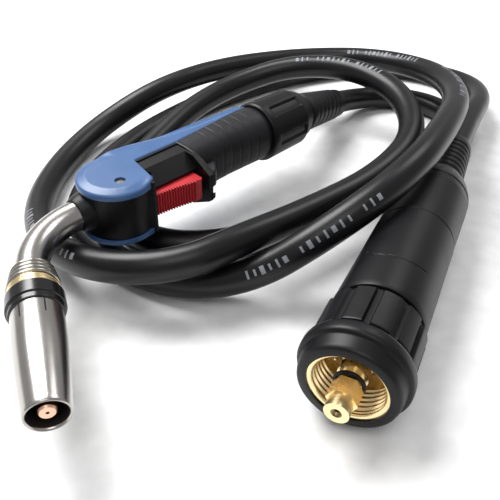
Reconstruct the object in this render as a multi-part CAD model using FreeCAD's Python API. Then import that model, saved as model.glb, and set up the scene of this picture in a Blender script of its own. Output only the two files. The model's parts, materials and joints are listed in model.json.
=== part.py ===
import FreeCAD, Part
import math
import os

# Gas-cooled welding torch lying on its side, with its cable laid in three loose loops and its
# central connector. Millimetres. +Z is up and z = 0 is the surface everything rests on.
# The handle's axis runs along +X, nozzle end at -X. The origin is under the middle of the torch.

Vec = FreeCAD.Vector

# ---------------------------------------------------------------- driving dimensions
# torch, as it lies
LAY_POINT = Vec(1.2, 11.3, -35.1)       # the point of the surface below it that it is laid out from
HANDLE_FRONT = LAY_POINT + Vec(-67.8, 25.4, 40.0)   # centre of the handle's front face
TORCH_YAW = -7.3                        # degrees about Z
TORCH_ROLL = 2.5                        # degrees about the handle's axis, trigger side down

# gooseneck centreline
NECK_INSIDE = 30.0                      # length held inside the handle
UNION_END = 78.0                        # rear end of the brass union inside the handle
UNION_CLEAR_R = 7.2
NECK_STRAIGHT = 9.5                     # straight length in front of the handle
NECK_BEND_R = 43.0
NECK_BEND = 63.5                        # degrees
NECK_TIP = 24.0                         # straight length between the bend and the nozzle band
NECK_OD = 15.6
NECK_ID = 13.4
SLEEVE_OD = 13.3
SLEEVE_ID = 10.9
CORE_OD = 10.8
CORE_ID = 5.0

# nozzle end, measured back from the nozzle's mouth
BAND_FROM_MOUTH = 58.0                  # middle of the insulating band
MOUTH_R = 8.8
MOUTH_BORE_R = 7.5
NOZZLE_R = 11.0
NOZZLE_WALL = 1.4
BAND_R = 12.7
BAND_HALF = 6.0
BRASS_RING_LENGTH = 4.0
SPRING_TURNS = 4
SPRING_WIRE_R = 1.1
SPRING_PITCH = 3.0
TIP_R = 3.6
TIP_BORE_R = 0.7
TIP_LENGTH = 30.0
TIP_RECESS = 1.5

# handle
HEAD_CENTRE = Vec(15.0, -3.0, 0.0)
HEAD_R = 19.4
COVER_R = 20.5
COVER_THICK = 4.5
HALF_WIDTH = 17.0                       # half the handle's thickness, across the trigger
BODY_END = 123.0
BODY_TOP = 16.0
CAVITY_R = 12.2
COLLAR_END = 163.0
COLLAR_R = 19.0
KNUCKLE_AT = 160.0                      # centre of the swivel ball
KNUCKLE_R = 13.8
COLLAR_SLOTS = 6
SCREW_R = 2.6
SCREW_AT = Vec(12.5, -10.8, 0.0)
SINK_DEPTH = 3.0                        # recess of the screw's heads
SCREW_HEAD = 1.8
GUARD_HALF = 6.0                        # half the width of the finger guard

# trigger
TRIGGER_HALF = 6.5
TRIGGER_X0 = 26.5
TRIGGER_X1 = 55.8
TRIGGER_PIVOT = Vec(30.5, -11.5, 0.0)
HOUSING_X0 = 21.0
HOUSING_X1 = 60.5
HOUSING_HALF = 15.5                     # the housing across, at its widest
HOUSING_LIP = 8.4                       # and at the foot of its sloping cheeks
PIN_R = 1.25
PIN_HALF = 12.0
SLOT_X0 = 25.8                          # the slot that the trigger moves in
SLOT_X1 = 57.6
SLOT_TOP = -7.6                         # roof of the trigger's slot
SWITCH_BOTTOM = -12.4
PLUNGER_X = 45.0
WIRE_Y = -9.4

# cable and its strain reliefs
CABLE_D = 17.0
FIRST_RUN = 36.0                        # straight out of the torch's boot, down to the surface
LAST_RUN = 50.0                         # straight into the connector's boot
BOOT_AXIS = Vec(75.0, 9.0, -19.5)
BOOT_LENGTH = 78.0
BOOT_R0 = 13.2
BOOT_R1 = 10.6
BOOT_RIBS = 6

# connector, measured back from the front of its central nipple
PLUG_FRONT = LAY_POINT + Vec(-94.0, -138.0, 25.0)
PLUG_YAW = 11.0
NIPPLE_NOSE_R = 5.2
NIPPLE_BORE_R = 2.3
NUT_FRONT = 12.5
NUT_END = 53.0
NUT_R = 24.8
NUT_GRIP_R = 22.6
INSERT_R = 18.0
THREAD_R = 15.2
FACE_AT = 38.0
FLANGE_END = 46.0
NECK_R = 12.0
HOUSING_FRONT = 54.0
HOUSING_SEAM = 122.0
HOUSING_R = 21.6
CAP_END = 187.0
PLUG_BOOT_LENGTH = 53.0
PIN_CIRCLE_R = 10.6
PIN_ANGLES = (40.0, 104.0)              # degrees from straight up, towards +Y
PIN_GUIDE_R = 2.6
CONTROL_PIN_R = 1.4
CONTROL_PIN_OUT = 9.0
NUT_PADS = 12
SHANK_AT = 72.0
SHANK_END = 96.0
SHANK_R = 6.2
PLUG_BOOT_R0 = 13.2

# The cable's route between its first and last runs, chosen by hand.
ROUTE = [
    (231, -4, 8.7),
    (236, -41, 8.7),
    (214, -71, 8.7),
    (172, -79.5, 8.7),
    (128, -74, 8.7),
    (78, -62, 8.7),
    (26, -44, 8.7),
    (-12, -28, 8.7),
    (-41, 4, 8.7),
    (-38, 46, 8.7),
    (-6, 78, 8.7),
    (42, 88, 15),
    (88, 94, 23),
    (132, 86, 30),
    (168, 56, 41),
    (182, 8, 45),
    (166, -40, 42),
    (122, -72, 35),
    (66, -72, 29),
    (8, -58, 29),
    (-36, -48, 33),
    (-68, -36, 31),
    (-88, -4, 27),
    (-88, 36, 20),
    (-72, 74, 12),
    (-44, 106, 8.7),
    (-2, 132, 8.7),
    (48, 144, 14),
    (98, 132, 28),
    (156, 116, 30),
    (214, 80, 29),
    (246, 24, 32),
    (226, -38, 40),
    (168, -80, 50),
    (100, -96, 57),
    (38, -102, 57),
    (-10, -86, 41),
    (-42, -56, 14),
    (-64, -18, 8.7),
    (-66, 24, 8.7),
    (-52, 66, 8.7),
    (-10, 96, 8.7),
    (44, 112, 8.7),
    (92, 116, 8.7),
    (138, 114, 8.7),
    (208, 98, 8.7),
    (268, 66, 8.7),
    (302, 12, 8.7),
    (292, -44, 12),
    (248, -74, 20),
]

ALONG_Z = Vec(0, 0, 1)
NODES = {}


# ---------------------------------------------------------------- helpers
def cylinder(radius, x0, x1, y=0.0, z=0.0):
    """A cylinder along +X."""
    return Part.makeCylinder(radius, x1 - x0, Vec(x0, y, z), Vec(1, 0, 0))


def tube(outer, inner, x0, x1, y=0.0, z=0.0):
    return cylinder(outer, x0, x1, y, z).cut(cylinder(inner, x0 - 1, x1 + 1, y, z))


def box(x0, x1, y0, y1, z0, z1):
    return Part.makeBox(x1 - x0, y1 - y0, z1 - z0, Vec(x0, y0, z0))


def revolve(profile):
    """Turn a closed outline of (position along X, radius) points about the X axis."""
    points = [Vec(x, r, 0) for x, r in profile]
    face = Part.Face(Part.makePolygon(points + points[:1]))
    return face.revolve(Vec(0, 0, 0), Vec(1, 0, 0), 360)


def prism(outline, z0, z1):
    """Extrude a closed outline of (x, y) points from z0 to z1."""
    points = [Vec(x, y, z0) for x, y in outline]
    face = Part.Face(Part.makePolygon(points + points[:1]))
    return face.extrude(Vec(0, 0, z1 - z0))


def across(outline, x0, x1):
    """A bar along X of one side's (z, y) outline and its mirror image."""
    points = [Vec(x0, y, z) for z, y in outline] + [Vec(x0, y, -z) for z, y in reversed(outline)]
    return Part.Face(Part.makePolygon(points + points[:1])).extrude(Vec(x1 - x0, 0, 0))


def hexagon(across_flats, x0, x1):
    """A hexagonal bar along +X."""
    corner = across_flats / math.sqrt(3.0)
    turns = [math.radians(60 * k) for k in range(6)]
    points = [Vec(x0, corner * math.cos(turn), corner * math.sin(turn)) for turn in turns]
    return Part.Face(Part.makePolygon(points + points[:1])).extrude(Vec(x1 - x0, 0, 0))


def joined(shapes):
    result = shapes[0]
    for shape in shapes[1:]:
        result = result.fuse(shape)
    return result.removeSplitter()


def pose(origin, direction):
    """Placement that takes the X axis to a direction through an origin."""
    return FreeCAD.Placement(origin, FreeCAD.Rotation(Vec(1, 0, 0), direction))


def moved(shape, placement):
    result = shape.copy()
    result.Placement = placement.multiply(result.Placement)
    return result


TORCH_TURN = FreeCAD.Rotation(ALONG_Z, TORCH_YAW).multiply(FreeCAD.Rotation(Vec(1, 0, 0), TORCH_ROLL))
TORCH = FreeCAD.Placement(HANDLE_FRONT, TORCH_TURN)
PLUG = FreeCAD.Placement(PLUG_FRONT, FreeCAD.Rotation(ALONG_Z, PLUG_YAW))
BOOT = pose(TORCH.multVec(Vec(KNUCKLE_AT, 0, 0)), BOOT_AXIS)


def keep(name, shape, placement):
    """Store one sub-part under its node name, in the part's own frame."""
    NODES[name] = moved(shape, placement)


# ---------------------------------------------------------------- gooseneck
def neck_points():
    """Corner points of the neck's centreline, in the torch's frame: X runs back along the handle."""
    bend = math.radians(NECK_BEND)
    start = Vec(NECK_INSIDE, 0, 0)
    bend_in = Vec(-NECK_STRAIGHT, 0, 0)
    bend_mid = bend_in + Vec(-NECK_BEND_R * math.sin(bend / 2), -NECK_BEND_R * (1 - math.cos(bend / 2)), 0)
    bend_out = bend_in + Vec(-NECK_BEND_R * math.sin(bend), -NECK_BEND_R * (1 - math.cos(bend)), 0)
    forward = Vec(-math.cos(bend), -math.sin(bend), 0)
    return start, bend_in, bend_mid, bend_out, forward


def neck_bar(radius, tip_length):
    """A round bar along the neck's centreline, tip_length past the bend."""
    start, bend_in, bend_mid, bend_out, forward = neck_points()
    path = Part.Wire([
        Part.LineSegment(start, bend_in).toShape(),
        Part.Arc(bend_in, bend_mid, bend_out).toShape(),
        Part.LineSegment(bend_out, bend_out + forward * tip_length).toShape(),
    ])
    profile = Part.Wire(Part.makeCircle(radius, start, Vec(-1, 0, 0)))
    return path.makePipeShell([profile], True, True)


def nozzle_pose():
    """Placement of the nozzle's parts: X runs back from the mouth along the nozzle's axis."""
    bend_out, forward = neck_points()[3:]
    mouth = bend_out + forward * (NECK_TIP + BAND_FROM_MOUTH)
    local = pose(mouth, forward * -1)
    return TORCH.multiply(local)


def build_neck():
    steel_tip = NECK_TIP - BAND_HALF - BRASS_RING_LENGTH
    sleeve_tip = NECK_TIP + 2.0
    core_tip = NECK_TIP + 4.0
    keep("neck_tube", neck_bar(NECK_OD / 2, steel_tip).cut(neck_bar(NECK_ID / 2, steel_tip)), TORCH)
    sleeve = neck_bar(SLEEVE_OD / 2, sleeve_tip).cut(neck_bar(SLEEVE_ID / 2, sleeve_tip))
    keep("neck_insulation", sleeve, TORCH)
    keep("neck_conductor", neck_bar(CORE_OD / 2, core_tip).cut(neck_bar(CORE_ID / 2, core_tip)), TORCH)
    collar = revolve([(-9, NECK_OD / 2 + 0.1), (-9, 9.4), (-5.4, 11.4), (-5.4, NECK_OD / 2 + 0.1)])
    keep("neck_collar", collar, TORCH)


# ---------------------------------------------------------------- nozzle end
def build_nozzle():
    place = nozzle_pose()
    band0 = BAND_FROM_MOUTH - BAND_HALF
    band1 = BAND_FROM_MOUTH + BAND_HALF
    sleeve_r = NOZZLE_R - 1.2
    nozzle = revolve([
        (0, MOUTH_BORE_R), (0, MOUTH_R - 0.4), (0.6, MOUTH_R), (16, MOUTH_R + 1.1), (34, NOZZLE_R - 0.2),
        (band0 - 1, NOZZLE_R), (band0 - 0.1, NOZZLE_R), (band0 - 0.1, sleeve_r), (band1 - 1, sleeve_r),
        (band1 - 1, sleeve_r - NOZZLE_WALL), (20, NOZZLE_R - NOZZLE_WALL - 1.4), (6, MOUTH_BORE_R),
    ])
    keep("gas_nozzle", nozzle, place)
    band = revolve([
        (band0, sleeve_r + 0.05), (band0, BAND_R - 1.4), (band0 + 3.2, BAND_R - 1.0), (band0 + 3.2, BAND_R),
        (band1 - 1.5, BAND_R), (band1, BAND_R - 1.5), (band1, sleeve_r + 0.05),
    ])
    keep("nozzle_insulator", band, place)
    ring_end = band1 + BRASS_RING_LENGTH
    ring = tube(BAND_R - 1.1, NECK_OD / 2 + 1.6, band1 + 0.1, ring_end, 0, 0)
    keep("nozzle_ring", ring, place)
    coils = []
    for turn in range(SPRING_TURNS):
        coil_r = BAND_R - 1.8 - 0.6 * turn
        centre = ring_end + SPRING_WIRE_R + 0.1 + turn * SPRING_PITCH
        coil = Part.makeTorus(coil_r, SPRING_WIRE_R, Vec(centre, 0, 0), Vec(1, 0, 0))
        coils.append(coil)
    bridge = Part.makeCone(NECK_OD / 2 + 3.1, NECK_OD / 2 + 1.4, coils[-1].BoundBox.XMax - ring_end - 1.0,
                           Vec(ring_end + 0.6, 0, 0), Vec(1, 0, 0))
    bridge = bridge.cut(cylinder(NECK_OD / 2 + 0.6, ring_end - 1, ring_end + 30))
    keep("nozzle_spring", Part.makeCompound([joined([bridge] + coils)]).Solids[0], place)
    tip_end = TIP_RECESS + TIP_LENGTH
    tip = revolve([
        (TIP_RECESS, TIP_BORE_R), (TIP_RECESS, TIP_R - 0.6), (TIP_RECESS + 0.8, TIP_R), (tip_end - 10, TIP_R),
        (tip_end - 10, 2.7), (tip_end, 2.7), (tip_end, TIP_BORE_R),
    ])
    keep("contact_tip", tip, place)
    holder = hexagon(8.4, tip_end - 9.8, tip_end - 2).fuse(cylinder(3.6, tip_end - 2, tip_end + 16))
    holder = holder.cut(cylinder(2.75, tip_end - 11, tip_end + 0.2)).cut(cylinder(1.6, tip_end, tip_end + 18))
    keep("tip_holder", holder.removeSplitter(), place)
    diffuser = tube(6.9, 3.65, tip_end - 1.8, tip_end + 13)
    for k in range(6):
        angle = math.radians(60 * k)
        hole = Part.makeCylinder(1.0, 12, Vec(tip_end + 3, 0, 0), Vec(0, math.cos(angle), math.sin(angle)))
        diffuser = diffuser.cut(hole)
    keep("gas_diffuser", diffuser, place)


# ---------------------------------------------------------------- handle
def rounded_section(x, y0, y1, half_z, corner):
    """A rounded rectangle in the plane at x, as a closed wire."""
    edges = []
    ys = (y0 + corner, y1 - corner)
    zs = (-half_z + corner, half_z - corner)
    corners = [(ys[1], zs[1], 0), (ys[0], zs[1], 90), (ys[0], zs[0], 180), (ys[1], zs[0], 270)]
    arcs = []
    for y, z, first in corners:
        turns = [math.radians(first + step) for step in (0, 45, 90)]
        arcs.append([Vec(x, y + corner * math.cos(t), z + corner * math.sin(t)) for t in turns])
    for k, points in enumerate(arcs):
        edges.append(Part.Arc(points[0], points[1], points[2]).toShape())
        edges.append(Part.LineSegment(points[2], arcs[(k + 1) % 4][0]).toShape())
    return Part.Wire(edges)


def grip_blank():
    """Outer form of the grip behind the trigger, split later into its two halves."""
    sections = [
        rounded_section(40.0, -15.0, BODY_TOP, HALF_WIDTH - 1.0, 8.0),
        rounded_section(66.0, -16.5, BODY_TOP, HALF_WIDTH - 0.5, 12.0),
        rounded_section(92.0, -15.0, BODY_TOP, HALF_WIDTH, 14.0),
        rounded_section(BODY_END, -16.8, BODY_TOP + 1.0, HALF_WIDTH, 16.0),
    ]
    return Part.makeLoft(sections, True, False)


def cover_outline(z0, z1):
    """Blank of a side cover: a round head with a strip running back along the top of the handle."""
    head = Part.makeCylinder(COVER_R, z1 - z0, Vec(HEAD_CENTRE.x, HEAD_CENTRE.y, z0), ALONG_Z)
    strip = prism([(15, 0), (32, 0.5), (60, 1), (96, 5), (BODY_END, 9), (BODY_END, 15.6),
                   (80, 17.2), (15, 18.2)], z0, z1)
    notch = prism([(24.5, -30), (30, 0), (50, 0), (50, -30)], z0 - 1, z1 + 1)
    return joined([head.cut(notch), strip])


def cover_blanks():
    """Both side covers as blanks that reach past the handle's sides."""
    cover_in = HALF_WIDTH - COVER_THICK
    return cover_outline(cover_in, 30).fuse(cover_outline(-30, -cover_in))


def build_handle():
    centre = HEAD_CENTRE
    cover_in = HALF_WIDTH - COVER_THICK
    drum = Part.makeCylinder(HEAD_R, 2 * cover_in, Vec(centre.x, centre.y, -cover_in), ALONG_Z)
    nose_block = box(15, 44, -4, BODY_TOP, -cover_in, cover_in)
    guard = prism([(60.8, -12), (60.8, -20), (64, -24), (68, -25.8), (72, -25), (75, -20.5), (80, -14.5)],
                  -GUARD_HALF, GUARD_HALF)
    outer = joined([drum, nose_block, grip_blank(), guard])
    trigger_bay = box(HOUSING_X0 - 0.1, HOUSING_X1 + 0.1, -40, -3.9, -30, 30)
    cavity = cylinder(CAVITY_R, 31, BODY_END + 1)
    neck_bore = cylinder(NECK_OD / 2 + 0.05, -10, 32)
    body = outer.cut(trigger_bay).cut(cavity).cut(neck_bore).cut(cover_blanks())
    bore = Part.makeCylinder(SCREW_R, 80, Vec(SCREW_AT.x, SCREW_AT.y, -40), ALONG_Z)
    body = body.cut(bore)
    keep("grip_left", largest(body.common(box(-20, 200, -60, 60, 0, 40))), TORCH)
    keep("grip_right", largest(body.common(box(-20, 200, -60, 60, -40, 0))), TORCH)
    clear = 0.05
    for name, side in (("cover_left", 1), ("cover_right", -1)):
        z_in = side * (cover_in + clear)
        z_out = side * HALF_WIDTH
        cover = cover_outline(min(z_in, z_out), max(z_in, z_out))
        cover = cover.cut(cylinder(CAVITY_R, 31, BODY_END + 9)).cut(bore)
        sink_z = min(z_out, z_out - side * SINK_DEPTH)
        sink = Part.makeCylinder(SCREW_R + 1.6, SINK_DEPTH, Vec(SCREW_AT.x, SCREW_AT.y, sink_z), ALONG_Z)
        keep(name, largest(cover.cut(sink)), TORCH)
    screw_z = HALF_WIDTH - SINK_DEPTH
    screw = Part.makeCylinder(SCREW_R - 0.15, 2 * screw_z, Vec(SCREW_AT.x, SCREW_AT.y, -screw_z), ALONG_Z)
    heads = [Part.makeCylinder(SCREW_R + 1.4, SCREW_HEAD, Vec(SCREW_AT.x, SCREW_AT.y, z), ALONG_Z)
             for z in (screw_z, -screw_z - SCREW_HEAD)]
    keep("cover_screw", joined([screw] + heads), TORCH)
    build_collar()


def largest(shape):
    """The main solid of a shape that a cut may have left in pieces."""
    return max(shape.Solids, key=lambda solid: solid.Volume)


def build_collar():
    bore = KNUCKLE_R + 0.5
    collar = revolve([
        (BODY_END + 0.1, bore), (BODY_END + 0.1, COLLAR_R - 0.6), (BODY_END + 1.4, COLLAR_R),
        (COLLAR_END - 8, COLLAR_R - 0.6), (COLLAR_END - 5, COLLAR_R - 2.2), (COLLAR_END, bore + 1.3),
        (COLLAR_END, bore),
    ])
    for k in range(COLLAR_SLOTS):
        slot = box(BODY_END + 7, COLLAR_END - 10, -3.5, 3.5, COLLAR_R - 1.6, COLLAR_R + 2)
        slot.rotate(Vec(0, 0, 0), Vec(1, 0, 0), 360.0 * k / COLLAR_SLOTS)
        collar = collar.cut(slot)
    keep("locking_collar", collar, TORCH)
    seat = tube(bore - 0.1, CABLE_D / 2 + 1.2, BODY_END + 0.2, KNUCKLE_AT - 6)
    ball = Part.makeSphere(KNUCKLE_R + 0.15, Vec(KNUCKLE_AT, 0, 0))
    keep("knuckle_socket", seat.cut(ball), TORCH)


# ---------------------------------------------------------------- trigger and switch
def build_trigger():
    half = TRIGGER_HALF
    front = prism([(HOUSING_X0, -4), (HOUSING_X0, -20.5), (24.5, -22.4), (SLOT_X0, -22.4), (SLOT_X0, -4)],
                  -HOUSING_HALF, HOUSING_HALF)
    cheeks = across([(HOUSING_HALF, -4), (HOUSING_HALF, -8.5), (HOUSING_LIP, -17.5)], SLOT_X0, SLOT_X1)
    blade = across([(HOUSING_HALF, -4), (HOUSING_HALF, -15.5), (HOUSING_LIP, -28.5)], SLOT_X1, HOUSING_X1)
    slot = box(SLOT_X0, SLOT_X1, -40, SLOT_TOP, -half - 0.5, half + 0.5)
    housing = joined([front, cheeks, blade]).cut(slot).cut(cover_blanks())
    housing = housing.cut(cylinder(NECK_OD / 2 + 0.05, 10, NECK_INSIDE + 0.1))
    housing = housing.cut(cylinder(UNION_CLEAR_R, NECK_INSIDE, HOUSING_X1 + 1))
    housing = housing.cut(box(HOUSING_X1 - 4, HOUSING_X1 + 1, WIRE_Y - 1.4, WIRE_Y + 1.4, -4, 4))
    pivot = Part.makeCylinder(PIN_R + 0.02, 60, Vec(TRIGGER_PIVOT.x, TRIGGER_PIVOT.y, -30), ALONG_Z)
    keep("trigger_housing", largest(housing.cut(pivot).removeSplitter()), TORCH)

    trigger = prism([
        (TRIGGER_X0, -10.2), (TRIGGER_X0, -20.8), (34, -21.6), (44, -23.4), (52, -25.6), (54.6, -25.6),
        (TRIGGER_X1, -24.4), (TRIGGER_X1, -14.6), (36, -11.2), (34, -8.3), (28, -8.3),
    ], -half, half)
    hollow = box(37, TRIGGER_X1 - 2.0, -16.6, -5, -half + 1.8, half - 1.8)
    bore = Part.makeCylinder(PIN_R + 0.05, 60, Vec(TRIGGER_PIVOT.x, TRIGGER_PIVOT.y, -30), ALONG_Z)
    keep("trigger", trigger.cut(hollow).cut(bore), TORCH)
    pin = Part.makeCylinder(PIN_R, 2 * PIN_HALF, Vec(TRIGGER_PIVOT.x, TRIGGER_PIVOT.y, -PIN_HALF), ALONG_Z)
    keep("trigger_pin", pin, TORCH)

    down = Vec(0, -1, 0)
    switch = box(38, 53.2, SWITCH_BOTTOM, SLOT_TOP - 0.1, -4.2, 4.2)
    switch = switch.cut(Part.makeCylinder(1.6, 5, Vec(PLUNGER_X, SWITCH_BOTTOM + 3.4, 0), down))
    keep("switch_body", switch, TORCH)
    plunger = Part.makeCylinder(1.45, 5.3, Vec(PLUNGER_X, SWITCH_BOTTOM + 1.4, 0), down)
    keep("switch_plunger", plunger, TORCH)
    wires = [cylinder(0.9, 53.3, BODY_END - 5, WIRE_Y, z) for z in (-2.4, 2.4)]
    keep("switch_wires", Part.makeCompound(wires), TORCH)


# ---------------------------------------------------------------- inside the handle, boot, cable ends
def build_rear():
    cable_r = CABLE_D / 2
    core_r = 5.5
    union = hexagon(12.0, NECK_INSIDE + 0.1, NECK_INSIDE + 14)
    union = union.fuse(cylinder(core_r, NECK_INSIDE + 14, UNION_END))
    union = union.cut(cylinder(CORE_ID / 2, 20, UNION_END + 1))
    keep("neck_union", union.removeSplitter(), TORCH)
    keep("cable_ferrule_torch", tube(6.9, core_r + 0.05, NECK_INSIDE + 16, UNION_END + 10), TORCH)
    keep("cable_entry_torch", cylinder(core_r, UNION_END + 0.1, KNUCKLE_AT - 15), TORCH)
    boot = joined([
        Part.makeSphere(KNUCKLE_R, Vec(0, 0, 0)),
        revolve([(2, 0), (2, 11.4), (12, 11.4), (15, BOOT_R0), (BOOT_LENGTH - 4, BOOT_R1),
                 (BOOT_LENGTH, BOOT_R1 - 1.0), (BOOT_LENGTH, 0)]),
    ])
    rib_pitch = (BOOT_LENGTH - 24) / BOOT_RIBS
    for k in range(BOOT_RIBS):
        groove = 21 + k * rib_pitch
        depth = 1.2 if k < BOOT_RIBS - 1 else 0.8
        boot = boot.cut(tube(BOOT_R0 + 2, BOOT_R0 - k * 0.45 - depth, groove, groove + 2.4))
    keep("handle_boot", boot.cut(cylinder(cable_r + 0.1, -20, BOOT_LENGTH + 1)), BOOT)
    keep("cable_in_boot", cylinder(cable_r, -10, BOOT_LENGTH), BOOT)


# ---------------------------------------------------------------- connector
def pin_offset(angle):
    """Sideways place of a control pin, in the plug's frame."""
    turn = math.radians(angle)
    return PIN_CIRCLE_R * math.sin(turn), PIN_CIRCLE_R * math.cos(turn)


def build_nut():
    nut = revolve([
        (NUT_FRONT, INSERT_R - 1.0), (NUT_FRONT, NUT_R - 4.5), (NUT_FRONT + 2.5, NUT_R - 1.2),
        (NUT_FRONT + 5, NUT_R), (NUT_FRONT + 13, NUT_R), (NUT_FRONT + 14.5, NUT_GRIP_R - 1.2),
        (NUT_END, NUT_GRIP_R - 1.2), (NUT_END, NECK_R + 0.4), (FLANGE_END + 0.4, NECK_R + 0.4),
        (FLANGE_END + 0.4, INSERT_R + 0.05), (NUT_FRONT + 1, INSERT_R + 0.05),
        (NUT_FRONT + 1, INSERT_R - 1.0),
    ])
    pads = []
    for k in range(NUT_PADS):
        pad = box(NUT_FRONT + 14, NUT_END - 2, -4.0, 4.0, NUT_GRIP_R - 3, NUT_GRIP_R + 0.6)
        pad.rotate(Vec(0, 0, 0), Vec(1, 0, 0), 360.0 * k / NUT_PADS)
        pads.append(pad)
    keep("adapter_nut", joined([nut] + pads), PLUG)
    insert = tube(INSERT_R, THREAD_R, NUT_FRONT + 1.1, FLANGE_END - 8.4)
    insert = insert.fuse(tube(INSERT_R, THREAD_R, FLANGE_END - 8.4, FLANGE_END + 0.3))
    keep("nut_thread_ring", insert.removeSplitter(), PLUG)


def build_plug():
    flange = cylinder(THREAD_R - 0.4, FACE_AT, FLANGE_END).fuse(cylinder(NECK_R, FLANGE_END, SHANK_AT))
    shank = cylinder(SHANK_R, SHANK_AT, SHANK_END)
    body = joined([flange, shank])
    body = body.cut(cylinder(6.05, FACE_AT - 1, FACE_AT + 24)).cut(cylinder(NIPPLE_BORE_R, 30, SHANK_END + 1))
    for angle in PIN_ANGLES:
        y, z = pin_offset(angle)
        body = body.cut(cylinder(PIN_GUIDE_R + 0.05, FACE_AT - 1, FLANGE_END, y, z))
    keep("plug_body", body, PLUG)

    nipple = joined([
        cylinder(NIPPLE_NOSE_R, 0, 6), hexagon(11.4, 5.9, 14), cylinder(4.7, 14, 20), cylinder(6.6, 20, 24),
        cylinder(7.0, 28, FACE_AT), cylinder(5.6, 24, 28), cylinder(6.0, FACE_AT, FACE_AT + 22),
    ])
    nipple = nipple.cut(cylinder(NIPPLE_BORE_R, -1, 80))
    keep("central_nipple", nipple, PLUG)
    keep("nipple_o_ring", Part.makeTorus(6.0, 0.95, Vec(16.0, 0, 0), Vec(1, 0, 0)), PLUG)
    keep("liner", tube(NIPPLE_BORE_R - 0.05, 1.2, 1.5, SHANK_END + 6), PLUG)

    for number, angle in enumerate(PIN_ANGLES, start=1):
        y, z = pin_offset(angle)
        guide = tube(PIN_GUIDE_R, CONTROL_PIN_R + 0.05, FACE_AT - 5, FLANGE_END - 0.1, y, z)
        guide = guide.cut(cylinder(2.0, FACE_AT + 1, FLANGE_END, y, z))
        keep("pin_guide_%d" % number, guide, PLUG)
        pin = cylinder(CONTROL_PIN_R, FACE_AT - CONTROL_PIN_OUT, FACE_AT + 2.2, y, z)
        pin = pin.fuse(cylinder(1.9, FACE_AT + 1.1, FACE_AT + 2.7, y, z))
        tip = Part.makeSphere(CONTROL_PIN_R, Vec(FACE_AT - CONTROL_PIN_OUT, y, z))
        keep("control_pin_%d" % number, joined([pin, tip]), PLUG)


def build_housing():
    step = HOUSING_R - 0.8
    bore = HOUSING_R - 4.0
    barrel = revolve([
        (HOUSING_FRONT, NECK_R + 0.05), (HOUSING_FRONT, step), (HOUSING_FRONT + 1.5, HOUSING_R),
        (HOUSING_SEAM, step), (HOUSING_SEAM, bore), (HOUSING_FRONT + 6, bore),
        (HOUSING_FRONT + 6, NECK_R + 0.05),
    ])
    keep("connector_housing", barrel, PLUG)
    cap_r = HOUSING_R - 1.0
    cable_r = CABLE_D / 2
    spigot = bore - 0.1
    cap_bore = bore - 2.0
    cap = revolve([
        (HOUSING_SEAM - 8, cap_bore), (HOUSING_SEAM - 8, spigot), (HOUSING_SEAM + 0.1, spigot),
        (HOUSING_SEAM + 0.1, cap_r), (CAP_END - 22, cap_r), (CAP_END - 12, cap_r - 1.4),
        (CAP_END, PLUG_BOOT_R0 + 0.6), (CAP_END, cable_r + 0.1), (CAP_END - 12, cable_r + 0.1),
        (CAP_END - 14, cap_bore),
    ])
    keep("connector_rear_cap", cap, PLUG)
    boot_end = CAP_END + PLUG_BOOT_LENGTH
    boot = revolve([
        (CAP_END + 0.1, cable_r + 0.1), (CAP_END + 0.1, PLUG_BOOT_R0), (boot_end - 3, BOOT_R1),
        (boot_end, BOOT_R1 - 1.0), (boot_end, cable_r + 0.1),
    ])
    keep("connector_boot", boot, PLUG)
    keep("cable_ferrule_plug", tube(SHANK_R + 2.2, SHANK_R + 0.05, SHANK_AT + 8, SHANK_END + 16), PLUG)
    keep("cable_in_connector", cylinder(cable_r, SHANK_END + 18, boot_end), PLUG)
    core = tube(SHANK_R, NIPPLE_BORE_R, SHANK_END + 6.1, SHANK_END + 17.9)
    keep("cable_copper_end", core, PLUG)


# ---------------------------------------------------------------- cable
def cable_points():
    """The cable's corner points, from one boot's end to the other's."""
    start = BOOT.multVec(Vec(BOOT_LENGTH, 0, 0))
    end = PLUG.multVec(Vec(CAP_END + PLUG_BOOT_LENGTH, 0, 0))
    first = BOOT.multVec(Vec(BOOT_LENGTH + FIRST_RUN, 0, 0))
    last = PLUG.multVec(Vec(CAP_END + PLUG_BOOT_LENGTH + LAST_RUN, 0, 0))
    return [start, first] + [LAY_POINT + Vec(*point) for point in ROUTE] + [last, end]


def corner_arc(before, corner, after):
    """The tangent arc that rounds one corner of the route, as three points, and its radius."""
    arrive = corner - before
    leave = after - corner
    trim = 0.45 * min(arrive.Length, leave.Length)
    half_turn = arrive.getAngle(leave) / 2
    radius = trim / math.tan(half_turn)
    arrive.normalize()
    leave.normalize()
    inward = (leave - arrive).normalize()
    depth = radius / math.cos(half_turn) - radius
    return corner - arrive * trim, corner + inward * depth, corner + leave * trim, radius


def build_cable():
    points = cable_points()
    edges = []
    radii = []
    at = points[0]
    for before, corner, after in zip(points, points[1:], points[2:]):
        arc_in, arc_mid, arc_out, radius = corner_arc(before, corner, after)
        edges.append(Part.LineSegment(at, arc_in).toShape())
        edges.append(Part.Arc(arc_in, arc_mid, arc_out).toShape())
        radii.append(round(radius))
        at = arc_out
    edges.append(Part.LineSegment(at, points[-1]).toShape())
    path = Part.Wire(edges)
    section = Part.Wire(Part.makeCircle(CABLE_D / 2, points[0], points[1] - points[0]))
    cable = path.makePipeShell([section], True, True)
    area = math.pi * CABLE_D ** 2 / 4
    print("cable radii", sorted(radii)[:12], "length", round(path.Length))
    print("cable volume over section times length", round(cable.Volume / (area * path.Length), 4))
    print("cable lowest point", round(cable.optimalBoundingBox(True).ZMin, 2))
    NODES["power_cable"] = cable


def build_parts():
    build_neck()
    build_nozzle()
    build_handle()
    build_trigger()
    build_rear()
    build_nut()
    build_plug()
    build_housing()
    build_cable()


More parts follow.
